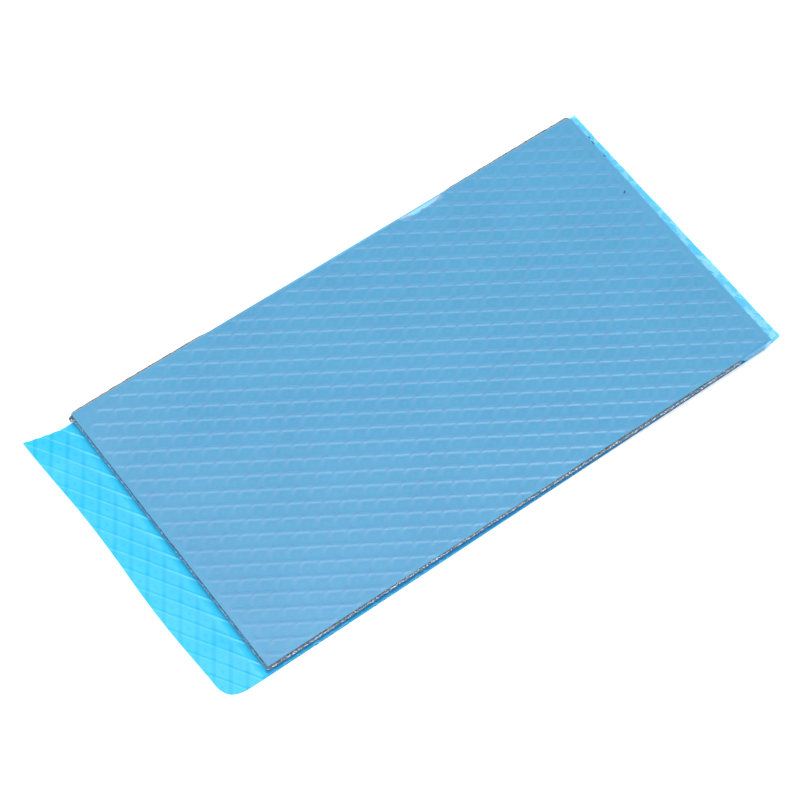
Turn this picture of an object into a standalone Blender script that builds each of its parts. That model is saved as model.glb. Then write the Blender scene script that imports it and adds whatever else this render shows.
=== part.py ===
"""Thermal pad sheet, lying flat as it is stored.

A filled silicone pad lies between two thin embossed release films. The lower film is longer than the
pad and shows past both its ends, and the upper film is trimmed to the pad, apart from a hem that hangs
down over one corner. The origin is under the middle of the pad, on the surface that the lower film
rests on. X runs along the pad's long side, Y along its short side and Z is up.
"""
import math

import bmesh
import bpy
from mathutils import Matrix, Vector

MM = 0.001
COLLECTION_NAME = "thermal_pad_sheet"

# Driving dimensions
PAD_LENGTH = 85.0 * MM
PAD_WIDTH = 45.0 * MM
PAD_THICKNESS = 1.5 * MM
FILM_THICKNESS = 0.1 * MM
SEAT_GAP = 0.3 * MM

# Cut edges of the pad: a slow bow along each long side, small rounds at the corners
PAD_CORNER_RADIUS = 0.35 * MM
REAR_BOW = 0.13 * MM
REAR_BOW_CREST = -30.0 * MM
FRONT_BOW = 0.08 * MM
FRONT_BOW_CREST = 22.0 * MM
BOW_PERIOD = 66.0 * MM
EDGE_STEP = 3.0 * MM

# Piece torn out of the pad's rear edge: where it lies, and how its torn line runs in shares of its size
NOTCH_PLACE = 15.9 * MM
NOTCH_LENGTH = 8.0 * MM
NOTCH_DEPTH = 0.75 * MM
NOTCH_LINE = ((0.0, 0.0), (0.04, 0.2), (0.13, 0.34), (0.2, 0.36), (0.3, 0.82), (0.41, 1.0), (0.48, 0.6),
              (0.61, 0.8), (0.72, 0.66), (0.82, 0.55), (0.95, 0.1), (1.0, 0.0))

# Corner that the upper film hangs over: the pad is squeezed back behind the film's hem
HEM_LENGTH = 5.6 * MM
HEM_LEAD_IN = 1.6 * MM
HEM_SETBACK = 0.4 * MM
HEM_CLEARANCE = 0.35 * MM
HEM_BEND_STEPS = 5
HEM_LEAD_IN_STEPS = 4

# Crumb that hangs on at the left rear corner
CRUMB_RADIUS = 0.4 * MM
CRUMB_REACH = 0.48 * MM
CRUMB_CORNER_DISTANCE = 0.45 * MM
CRUMB_DEPTH = 0.6 * MM

# Bites torn out of the cut faces: along the right end's upper edge and the front's lower edge
BITE_RADIUS = 0.38 * MM
BITE_DEPTH = 0.2 * MM
BITE_HEIGHT = 0.08 * MM
END_BITE_PLACES = (17.3 * MM, 14.3 * MM, 3.4 * MM)
FRONT_BITE_PLACES = (-33.5 * MM, -17.0 * MM, -3.0 * MM, 12.5 * MM, 29.0 * MM)

# Torn lumps are uneven: how much, and how many waves they have along each axis
TORN_UNEVENNESS = 0.35
TORN_WAVES = (7.0, 6.0, 5.0)
CRUMB_SEED = 0.6
FIRST_BITE_SEED = 1.0

# Facets in each small round corner, and how near two points are when they count as one
ROUND_STEPS = 4
WELD_DISTANCE = 0.001 * MM
CUT_TOLERANCE = 0.0001 * MM

# Lower film: how far it shows past the pad on each side, and how its edges run
BASE_LEFT_OVERHANG = 6.7 * MM
BASE_RIGHT_OVERHANG = 2.15 * MM
BASE_FRONT_OVERHANG = 0.1 * MM
BASE_REAR_OVERHANG = 0.24 * MM
BASE_REAR_TAPER = 0.32 * MM
BASE_SKEW = math.radians(0.4)
BASE_RIGHT_SLANT = 0.34 * MM

# Lower film's ends: on the left a slow wave, a squarish round corner in front and a scalloped tip
# behind, on the right a small corner that is trimmed back
BASE_LEFT_WAVE = 0.22 * MM
BASE_LEFT_WAVE_PERIOD = 31.0 * MM
BASE_LEFT_WAVE_CREST = -7.7 * MM
BASE_CORNER_ALONG = 4.7 * MM
BASE_CORNER_ACROSS = 4.15 * MM
BASE_CORNER_SQUARENESS = 3.37
BASE_CORNER_STEPS = 12
BASE_RIGHT_CORNER_RADIUS = 0.3 * MM
BASE_RIGHT_TRIM = 0.3 * MM
BASE_RIGHT_TRIM_LENGTH = 3.2 * MM
BASE_TIP_RISE = 1.18 * MM
BASE_TIP_LENGTH = 5.2 * MM
BASE_TIP_SHARPNESS = 1.2
BASE_SCALLOP = 0.04 * MM
BASE_SCALLOP_PITCH = 1.35 * MM

# Upper film: cut straight, a little inside the pad's rear edge
TOP_REAR_INSET = 0.12 * MM
TOP_CORNER_RADIUS = 0.9 * MM

# Levels, from the surface up
BASE_TOP = FILM_THICKNESS
PAD_BOTTOM = BASE_TOP + SEAT_GAP
PAD_TOP = PAD_BOTTOM + PAD_THICKNESS
COVER_BOTTOM = PAD_TOP + SEAT_GAP

PAD_COLOUR = (0.245, 0.225, 0.225, 1.0)
TOP_FILM_COLOUR = (0.09, 0.36, 0.66, 1.0)
BASE_FILM_COLOUR = (0.09, 0.68, 0.97, 1.0)


def clear_scene():
    """Remove every object of the scene."""
    for item in list(bpy.data.objects):
        bpy.data.objects.remove(item, do_unlink=True)


def make_collection(name):
    """Make a collection and link it to the scene."""
    group = bpy.data.collections.new(name)
    bpy.context.scene.collection.children.link(group)
    return group


def make_material(name, colour, roughness):
    """Make a plain non-metallic material."""
    material = bpy.data.materials.new(name)
    material.use_nodes = True
    surface = material.node_tree.nodes["Principled BSDF"]
    surface.inputs["Base Color"].default_value = colour
    surface.inputs["Roughness"].default_value = roughness
    surface.inputs["Metallic"].default_value = 0.0
    material.diffuse_color = colour
    return material


def wave(place, crest, period):
    """Height of a cosine wave of unit size whose crest is at the given place."""
    return math.cos(2.0 * math.pi * (place - crest) / period)


def stations(start, end, step):
    """Evenly spaced places from start to end, both included, about one step apart."""
    count = max(2, round(abs(end - start) / step))
    return [start + (end - start) * i / count for i in range(count + 1)]


def arc(centre, radius, start_angle, end_angle, steps):
    """Points along an arc about a centre, both ends included."""
    points = []
    for i in range(steps + 1):
        angle = start_angle + (end_angle - start_angle) * i / steps
        points.append((centre[0] + radius * math.cos(angle), centre[1] + radius * math.sin(angle)))
    return points


def front_edge(x):
    """Y of the pad's bowed front edge at a place along its length."""
    return -PAD_WIDTH / 2 - FRONT_BOW * wave(x, FRONT_BOW_CREST, BOW_PERIOD)


def rear_edge(x):
    """Y of the pad's bowed rear edge at a place along its length."""
    return PAD_WIDTH / 2 + REAR_BOW * wave(x, REAR_BOW_CREST, BOW_PERIOD)


def hem_start():
    """X where the upper film's hem begins to bend down."""
    return PAD_LENGTH / 2 - HEM_LENGTH


def bend_line():
    """Y of the squeezed-back face of the pad, which the upper film's hem is bent around."""
    return -PAD_WIDTH / 2 + HEM_SETBACK


def hem_reach():
    """Length of film between the start of the hem's bend and the hem's edge."""
    drop = PAD_TOP - BASE_TOP - HEM_CLEARANCE
    return 0.5 * math.pi * SEAT_GAP + drop


def pad_outline():
    """Outline of the pad, counter-clockwise from its left front corner."""
    end = PAD_LENGTH / 2
    radius = PAD_CORNER_RADIUS
    points = arc((-end + radius, front_edge(-end) + radius), radius, math.pi, 1.5 * math.pi, ROUND_STEPS)
    points += [(x, front_edge(x)) for x in stations(-end + 2 * radius, hem_start(), EDGE_STEP)]
    points.append((hem_start() + HEM_LEAD_IN, bend_line()))
    points += arc((end - radius, bend_line() + radius), radius, -0.5 * math.pi, 0.0, ROUND_STEPS)
    points += arc((end - radius, rear_edge(end) - radius), radius, 0.0, 0.5 * math.pi, ROUND_STEPS)
    notch_left = NOTCH_PLACE - NOTCH_LENGTH / 2
    notch_right = NOTCH_PLACE + NOTCH_LENGTH / 2
    points += [(x, rear_edge(x)) for x in stations(end - 2 * radius, notch_right, EDGE_STEP)]
    for along, depth in reversed(NOTCH_LINE[1:-1]):
        x = notch_left + along * NOTCH_LENGTH
        points.append((x, rear_edge(x) - depth * NOTCH_DEPTH))
    points += [(x, rear_edge(x)) for x in stations(notch_left, -end + 2 * radius, EDGE_STEP)]
    points += arc((-end + radius, rear_edge(-end) - radius), radius, 0.5 * math.pi, math.pi, ROUND_STEPS)
    return points


def cover_outline():
    """Outline of the upper film laid out flat, with its hem still unbent."""
    end = PAD_LENGTH / 2
    radius = TOP_CORNER_RADIUS
    rear = PAD_WIDTH / 2 - TOP_REAR_INSET
    hem_edge = bend_line() - hem_reach()
    points = [(-end, -PAD_WIDTH / 2), (hem_start(), -PAD_WIDTH / 2)]
    points += [(hem_start() + HEM_LEAD_IN, hem_edge), (end, hem_edge)]
    points += arc((end - radius, rear - radius), radius, 0.0, 0.5 * math.pi, ROUND_STEPS)
    points.append((-end, rear))
    return points


def bend_hem(x, y):
    """Place of a point of the upper film once its hem is bent down, fully so past its lead-in."""
    beyond = bend_line() - y
    formed = 1.0 - (1.0 - min(1.0, max(0.0, (x - hem_start()) / HEM_LEAD_IN))) ** 2
    if beyond <= 0.0 or formed == 0.0:
        return x, y, COVER_BOTTOM
    quarter = 0.5 * math.pi * SEAT_GAP
    angle = min(beyond, quarter) / SEAT_GAP
    drop = max(0.0, beyond - quarter)
    bent_y = bend_line() - SEAT_GAP * math.sin(angle)
    bent_z = PAD_TOP + SEAT_GAP * math.cos(angle) - drop
    return x, y + formed * (bent_y - y), COVER_BOTTOM + formed * (bent_z - COVER_BOTTOM)


def base_outline():
    """Outline of the lower film in its own straight frame, counter-clockwise from its front edge."""
    left = -PAD_LENGTH / 2 - BASE_LEFT_OVERHANG
    right = PAD_LENGTH / 2 + BASE_RIGHT_OVERHANG
    front = -PAD_WIDTH / 2 - BASE_FRONT_OVERHANG
    rear = PAD_WIDTH / 2 + BASE_REAR_OVERHANG
    tip_end = left + BASE_TIP_LENGTH
    radius = BASE_RIGHT_CORNER_RADIUS

    def left_edge(y):
        return left - BASE_LEFT_WAVE * wave(y, BASE_LEFT_WAVE_CREST, BASE_LEFT_WAVE_PERIOD)

    def rear_line(x):
        taper = BASE_REAR_TAPER * (right - x) / (right - left)
        tip = max(0.0, (tip_end - x) / BASE_TIP_LENGTH)
        scallop = BASE_SCALLOP * math.sin(2.0 * math.pi * (x - tip_end) / BASE_SCALLOP_PITCH)
        return rear - taper + BASE_TIP_RISE * tip ** BASE_TIP_SHARPNESS + (scallop if tip > 0.0 else 0.0)

    def corner_point(turn):
        along = BASE_CORNER_ALONG * (1.0 - math.cos(turn) ** (2.0 / BASE_CORNER_SQUARENESS))
        across = BASE_CORNER_ACROSS * (1.0 - math.sin(turn) ** (2.0 / BASE_CORNER_SQUARENESS))
        return left_edge(front + BASE_CORNER_ACROSS) + along, front + across

    points = [corner_point(0.5 * math.pi * i / BASE_CORNER_STEPS) for i in range(1, BASE_CORNER_STEPS)]
    points += [(left + BASE_CORNER_ALONG, front), (right - BASE_RIGHT_TRIM_LENGTH, front)]
    centre = (right + BASE_RIGHT_SLANT / 2 - radius, front + BASE_RIGHT_TRIM + radius)
    points += arc(centre, radius, -0.5 * math.pi, 0.0, ROUND_STEPS)
    points += [(right - BASE_RIGHT_SLANT / 2, rear_line(right)), (tip_end, rear_line(tip_end))]
    tip_steps = stations(tip_end, left_edge(rear + BASE_TIP_RISE), BASE_SCALLOP_PITCH / 4)
    points += [(x, rear_line(x)) for x in tip_steps[1:]]
    points += [(left_edge(y), y) for y in stations(rear, front + BASE_CORNER_ACROSS, EDGE_STEP)]
    return points


def outline_mesh(name, points, half_depth):
    """Make a mesh from a flat outline, through a filled curve extruded by half its depth each way."""
    curve = bpy.data.curves.new(name + "_outline", "CURVE")
    curve.dimensions = "2D"
    curve.fill_mode = "BOTH"
    curve.extrude = half_depth
    spline = curve.splines.new("POLY")
    spline.points.add(len(points) - 1)
    for point, (x, y) in zip(spline.points, points):
        point.co = (x, y, 0.0, 1.0)
    spline.use_cyclic_u = True
    drawn = bpy.data.objects.new(name + "_outline", curve)
    bpy.context.scene.collection.objects.link(drawn)
    bpy.context.view_layer.update()
    evaluated = drawn.evaluated_get(bpy.context.evaluated_depsgraph_get())
    mesh = bpy.data.meshes.new_from_object(evaluated)
    mesh.name = name
    bpy.data.objects.remove(drawn, do_unlink=True)
    bpy.data.curves.remove(curve)
    cleaner = bmesh.new()
    cleaner.from_mesh(mesh)
    bmesh.ops.remove_doubles(cleaner, verts=cleaner.verts, dist=WELD_DISTANCE)
    bmesh.ops.recalc_face_normals(cleaner, faces=cleaner.faces)
    cleaner.to_mesh(mesh)
    cleaner.free()
    return mesh


def cut_lines(mesh, axis, places):
    """Cut edges into a flat sheet at the given places along one axis, so that it can bend there."""
    sheet = bmesh.new()
    sheet.from_mesh(mesh)
    for place in places:
        geometry = sheet.verts[:] + sheet.edges[:] + sheet.faces[:]
        bmesh.ops.bisect_plane(sheet, geom=geometry, dist=CUT_TOLERANCE, plane_co=axis * place, plane_no=axis)
    sheet.to_mesh(mesh)
    sheet.free()


def add_object(name, mesh, material, collection):
    """Make an object of a mesh, with one material, in a collection."""
    item = bpy.data.objects.new(name, mesh)
    mesh.materials.clear()
    mesh.materials.append(material)
    collection.objects.link(item)
    return item


def add_thickness(item, outward):
    """Give a sheet the film's thickness, on the side that its faces point to or on the other one."""
    solidify = item.modifiers.new("film_thickness", "SOLIDIFY")
    solidify.thickness = FILM_THICKNESS
    solidify.offset = 1.0 if outward else -1.0
    solidify.use_even_offset = True


def lump_mesh(name, radius, seed):
    """Make a small uneven lump, as a torn piece of the filled silicone leaves it."""
    mesh = bpy.data.meshes.new(name)
    shaper = bmesh.new()
    bmesh.ops.create_icosphere(shaper, subdivisions=2, radius=radius)
    for vert in shaper.verts:
        uneven = 1.0
        for axis, (share, waves) in enumerate(zip(vert.co.normalized(), TORN_WAVES)):
            uneven *= math.sin(waves * share + (axis + 1) * seed)
        vert.co *= 1.0 + TORN_UNEVENNESS * uneven
    shaper.to_mesh(mesh)
    shaper.free()
    return mesh


def combine(target, tool, operation):
    """Join a shape to a piece or cut it out, and keep the tool only as a hidden guide."""
    step = target.modifiers.new(tool.name, "BOOLEAN")
    step.operation = operation
    step.object = tool
    tool.hide_render = True
    tool.display_type = "WIRE"


def bite_places():
    """Centres of the bites: along the right end's top, along the front's lower edge and at one corner."""
    end = PAD_LENGTH / 2
    outside = BITE_RADIUS - BITE_DEPTH
    places = [Vector((end + outside, y, PAD_TOP)) for y in END_BITE_PLACES]
    places += [Vector((x, front_edge(x) - outside, PAD_BOTTOM + BITE_HEIGHT)) for x in FRONT_BITE_PLACES]
    places.append(Vector((-end, front_edge(-end), (PAD_BOTTOM + PAD_TOP) / 2)))
    return places


def build_pad(parts, cutters):
    """Build the filled silicone pad, with its torn notch, bites and crumb."""
    mesh = outline_mesh("thermal_pad", pad_outline(), PAD_THICKNESS / 2)
    pad = add_object("thermal_pad", mesh, make_material("filled_silicone", PAD_COLOUR, 0.85), parts)
    pad.location.z = (PAD_BOTTOM + PAD_TOP) / 2
    cutter_material = make_material("cutter", PAD_COLOUR, 0.85)
    crumb = add_object("crumb", lump_mesh("crumb", CRUMB_RADIUS, CRUMB_SEED), cutter_material, cutters)
    crumb_x = -PAD_LENGTH / 2 - CRUMB_REACH + CRUMB_RADIUS
    crumb.location = (crumb_x, rear_edge(-PAD_LENGTH / 2) - CRUMB_CORNER_DISTANCE, PAD_TOP - CRUMB_DEPTH)
    combine(pad, crumb, "UNION")
    for index, place in enumerate(bite_places()):
        mesh = lump_mesh(f"bite_{index}", BITE_RADIUS, FIRST_BITE_SEED + index)
        bite = add_object(mesh.name, mesh, cutter_material, cutters)
        bite.location = place
        combine(pad, bite, "DIFFERENCE")
    return pad


def build_bottom_film(parts):
    """Build the lower release film, which lies on the surface and shows past the pad."""
    mesh = outline_mesh("bottom_release_film", base_outline(), FILM_THICKNESS / 2)
    mesh.transform(Matrix.Rotation(BASE_SKEW, 4, "Z"))
    film = add_object("bottom_release_film", mesh, make_material("lower_film", BASE_FILM_COLOUR, 0.25), parts)
    film.location.z = FILM_THICKNESS / 2
    return film


def build_top_film(parts):
    """Build the upper release film, cut flat and then bent down at its hem."""
    mesh = outline_mesh("top_release_film", cover_outline(), 0.0)
    step = 0.5 * math.pi * SEAT_GAP / HEM_BEND_STEPS
    lead_in = HEM_LEAD_IN / HEM_LEAD_IN_STEPS
    along = [hem_start() + lead_in * i for i in range(HEM_LEAD_IN_STEPS + 1)]
    cut_lines(mesh, Vector((1.0, 0.0, 0.0)), along)
    cut_lines(mesh, Vector((0.0, 1.0, 0.0)), [bend_line() - step * i for i in range(HEM_BEND_STEPS + 1)])
    for vert in mesh.vertices:
        vert.co = bend_hem(vert.co.x, vert.co.y)
    film = add_object("top_release_film", mesh, make_material("upper_film", TOP_FILM_COLOUR, 0.25), parts)
    add_thickness(film, True)
    return film


def main():
    """Build the whole sheet."""
    clear_scene()
    parts = make_collection(COLLECTION_NAME)
    cutters = make_collection("cutters")
    build_bottom_film(parts)
    build_pad(parts, cutters)
    build_top_film(parts)


main()
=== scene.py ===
"""Looks of the thermal pad sheet: a grey filled-silicone pad between two embossed blue release films.

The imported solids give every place. The films are replaced by sheets whose diamond emboss is modelled,
and the pad by a body with granular cut faces. Lengths are in metres, X runs along the pad's long side,
Y along its short side and Z is up.
"""

import logging
import math
from collections.abc import Callable
from dataclasses import dataclass, field
from enum import Enum

import bmesh
import bpy
import numpy as np
from mathutils import Matrix, Vector, noise
from mathutils.bvhtree import BVHTree
from mathutils.geometry import delaunay_2d_cdt


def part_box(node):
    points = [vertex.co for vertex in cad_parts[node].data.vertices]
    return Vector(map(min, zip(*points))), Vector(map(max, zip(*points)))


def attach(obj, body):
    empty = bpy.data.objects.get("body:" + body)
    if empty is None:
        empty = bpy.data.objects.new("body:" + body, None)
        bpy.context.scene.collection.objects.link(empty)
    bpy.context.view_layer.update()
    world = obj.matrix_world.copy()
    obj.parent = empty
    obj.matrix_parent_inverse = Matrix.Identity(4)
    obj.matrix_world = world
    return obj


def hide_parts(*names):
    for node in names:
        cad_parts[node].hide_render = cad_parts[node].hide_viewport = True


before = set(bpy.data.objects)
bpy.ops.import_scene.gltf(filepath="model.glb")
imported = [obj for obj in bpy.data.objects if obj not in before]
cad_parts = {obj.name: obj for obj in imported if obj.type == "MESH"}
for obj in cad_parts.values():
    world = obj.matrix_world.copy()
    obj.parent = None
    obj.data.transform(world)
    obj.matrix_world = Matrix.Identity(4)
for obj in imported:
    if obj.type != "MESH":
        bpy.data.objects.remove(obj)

MM = 0.001
LATTICE_LAYER = "lattice"
STAIN_AND_FILL_LAYER = "stain_and_fill"
LOG = logging.getLogger("thermal_pad_sheet")

Colour = tuple[float, float, float]
Placer = Callable[[np.ndarray, np.ndarray], np.ndarray]
Shares = Callable[[np.ndarray], np.ndarray]


class Side(Enum):
    """The three kinds of face that a film has, which are also its material slots."""

    OUTER = 0
    CUT_EDGE = 1
    BACK = 2


def smooth_step(value: np.ndarray) -> np.ndarray:
    """Ease a value from 0 to 1 with level ends, and hold it outside them."""
    held = np.clip(value, 0.0, 1.0)
    return held * held * (3.0 - 2.0 * held)


def to_nearest_line(coordinate: np.ndarray) -> np.ndarray:
    """Distance of lattice coordinates to the nearest whole number, from 0 to 0.5."""
    return np.abs(coordinate - np.round(coordinate))


def inside_outline(points: np.ndarray, outline: np.ndarray) -> np.ndarray:
    """Tell which points lie inside a closed outline.

    Args:
        points: Places as rows of X and Y.
        outline: Corners of the outline in order, as rows of X and Y.

    Returns:
        One truth value for each point.
    """
    inside = np.zeros(len(points), bool)
    for (x0, y0), (x1, y1) in zip(outline, np.roll(outline, -1, axis=0)):
        if y0 == y1:
            continue
        spans = (points[:, 1] < y0) != (points[:, 1] < y1)
        crossing = x0 + (points[:, 1] - y0) * (x1 - x0) / (y1 - y0)
        inside ^= spans & (points[:, 0] < crossing)
    return inside


def distance_to_outline(points: np.ndarray, outline: np.ndarray) -> np.ndarray:
    """Measure how far each point lies from the nearest edge of a closed outline.

    Args:
        points: Places as rows of X and Y.
        outline: Corners of the outline in order, as rows of X and Y.

    Returns:
        One distance for each point.
    """
    nearest = np.full(len(points), np.inf)
    for start, end in zip(outline, np.roll(outline, -1, axis=0)):
        run = end - start
        share = np.clip(((points - start) @ run) / (run @ run), 0.0, 1.0)
        away = points - start - share[:, None] * run
        nearest = np.minimum(nearest, np.einsum("ij,ij->i", away, away))
    return np.sqrt(nearest)


def resampled(outline: np.ndarray, step: float) -> np.ndarray:
    """Put points along a closed outline, with all its corners kept.

    Args:
        outline: Corners of the outline in order, as rows of X and Y.
        step: Longest distance between two points.

    Returns:
        The points in order, as rows of X and Y.
    """
    points: list[np.ndarray] = []
    for start, end in zip(outline, np.roll(outline, -1, axis=0)):
        pieces = max(1, math.ceil(float(np.linalg.norm(end - start)) / step))
        points += [start + (end - start) * i / pieces for i in range(pieces)]
    return np.array(points)


def outline_of(node: str, level: float) -> np.ndarray:
    """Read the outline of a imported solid's flat face at one level.

    Args:
        node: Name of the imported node.
        level: Height of the flat face.

    Returns:
        The outline's corners, counter-clockwise, as rows of X and Y.
    """
    near = 0.01 * MM
    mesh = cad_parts[node].data
    keys = [tuple(round(c / near) for c in v.co) for v in mesh.vertices]
    flat = round(level / near)
    uses: dict[tuple, int] = {}
    for polygon in mesh.polygons:
        corners = [keys[i] for i in polygon.vertices]
        if any(abs(c[2] - flat) > 1 for c in corners):
            continue
        for pair in zip(corners, corners[1:] + corners[:1]):
            uses[pair] = uses.get(pair, 0) + 1
    onward = {a: b for a, b in uses if (b, a) not in uses}
    start = here = next(iter(onward))
    loop = []
    while True:
        loop.append((here[0] * near, here[1] * near))
        here = onward[here]
        if here == start:
            break
    outline = np.array(loop)
    following = np.roll(outline, -1, axis=0)
    area = float((outline[:, 0] * following[:, 1] - following[:, 0] * outline[:, 1]).sum()) / 2.0
    return outline if area > 0.0 else outline[::-1]


def filled(points: np.ndarray, edges: list[tuple[int, int]]) -> list[tuple[int, int, int]]:
    """Join flat points with triangles that keep the given edges.

    Args:
        points: Places as rows of X and Y, all different.
        edges: Pairs of points that have to be joined.

    Returns:
        Triangles over the whole set, as three point numbers each.
    """
    scaled = [Vector((float(x) / MM, float(y) / MM)) for x, y in points]
    result = delaunay_2d_cdt(scaled, edges, [], 0, 1e-6)
    origin = [known[0] for known in result[3]]
    return [tuple(origin[i] for i in face) for face in result[2]]


@dataclass(frozen=True)
class LineFamily:
    """One family of parallel emboss lines on a film laid out flat.

    Attributes:
        heading: Direction square to the lines, which their spacing is measured along.
        pitch: Distance from line to line.
        phase: Share of a pitch from the origin to the nearest line, along the heading.
    """

    heading: float
    pitch: float
    phase: float

    def wave_vector(self) -> np.ndarray:
        """Pitches travelled for each metre along X and along Y."""
        return np.array((math.cos(self.heading), math.sin(self.heading))) / self.pitch


@dataclass(frozen=True)
class Lattice:
    """Two crossing families of lines, whose whole-numbered coordinates are the lines themselves."""

    first: LineFamily
    second: LineFamily

    def matrix(self) -> np.ndarray:
        """The two wave vectors as rows."""
        return np.stack([self.first.wave_vector(), self.second.wave_vector()])

    def phases(self) -> np.ndarray:
        """The two phases."""
        return np.array((self.first.phase, self.second.phase))

    def coordinates(self, points: np.ndarray) -> np.ndarray:
        """Lattice coordinates of places given as rows of X and Y."""
        return points @ self.matrix().T - self.phases()

    def places(self, coordinates: np.ndarray) -> np.ndarray:
        """Places, as rows of X and Y, of lattice coordinates."""
        return (coordinates + self.phases()) @ np.linalg.inv(self.matrix()).T


@dataclass(frozen=True)
class Emboss:
    """Section of the emboss: raised dashes along the first lines, around flat diamonds; their break at the
    second lines is not in the relief but only painted shade in the films' colour.

    Each dash hooks round for a short way along the second line, so the diamonds have rounded corners.

    Attributes:
        depth: Height of the dashes above the diamonds.
        crest: Half the flat top of a dash, as a share of the pitch.
        foot: Where the flank of a dash meets the diamond, likewise.
        hook_crest: Half the flat top of a hook along the second line, likewise.
        hook_foot: Where the flank of a hook meets the diamond, likewise.
        hook_reach: How far a hook goes from the crossing, likewise.
        gap_slant: How far the colour of a break goes along the first lines for each step along the second.
        settle: Width next to a foot where the mesh is already flat, likewise.
        mark_height: Height of the small pyramid in each diamond.
        mark_foot: Half the pyramid's size at its foot, as a share of the pitch.
    """

    depth: float = 0.04 * MM
    crest: float = 0.02
    foot: float = 0.17
    hook_crest: float = 0.06
    hook_foot: float = 0.14
    hook_reach: float = 0.36
    gap_slant: float = 0.9
    settle: float = 0.03
    mark_height: float = 0.008 * MM
    mark_foot: float = 0.12

    def stations(self, axis: int) -> list[float]:
        """Places along one pitch, across the lines of one family, where the mesh has a line of points."""
        crest, foot = ((self.crest, self.foot), (self.hook_crest, self.hook_foot))[axis]
        half = [crest, (crest + foot) / 2.0, foot, foot + self.settle, 0.5 - self.mark_foot]
        return half + [0.5] + [1.0 - share for share in reversed(half)]

    def height(self, coordinates: np.ndarray) -> np.ndarray:
        """Height of the relief above the floor of the diamonds.

        Args:
            coordinates: Lattice coordinates as rows.

        Returns:
            One height for each row.
        """
        beside, along = to_nearest_line(coordinates).T
        dash = np.clip((self.foot - beside) / (self.foot - self.crest), 0.0, 1.0)
        hook = np.clip((self.hook_foot - along) / (self.hook_foot - self.hook_crest), 0.0, 1.0)
        hook *= np.clip((self.hook_reach - beside) / (self.hook_reach - self.crest), 0.0, 1.0)
        mark = np.clip((np.minimum(beside, along) - 0.5 + self.mark_foot) / self.mark_foot, 0.0, 1.0)
        return self.depth * (1.0 - (1.0 - dash) * (1.0 - hook)) + self.mark_height * mark


@dataclass(frozen=True)
class Zone:
    """A box on the flat film that gets evenly spaced points, because it bends there or is out of sight.

    Attributes:
        low: Its low corner.
        high: Its high corner.
        step: Distance between its points.
    """

    low: tuple[float, float]
    high: tuple[float, float]
    step: float

    def holds(self, points: np.ndarray) -> np.ndarray:
        """Tell which points, given as rows of X and Y, lie in the box."""
        return np.all((points > np.array(self.low)) & (points < np.array(self.high)), axis=1)

    def points(self) -> np.ndarray:
        """The box's evenly spaced points, as rows of X and Y."""
        along = [np.arange(a + self.step / 2.0, b, self.step) for a, b in zip(self.low, self.high)]
        return np.stack(np.meshgrid(*along), axis=-1).reshape(-1, 2)


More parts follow.
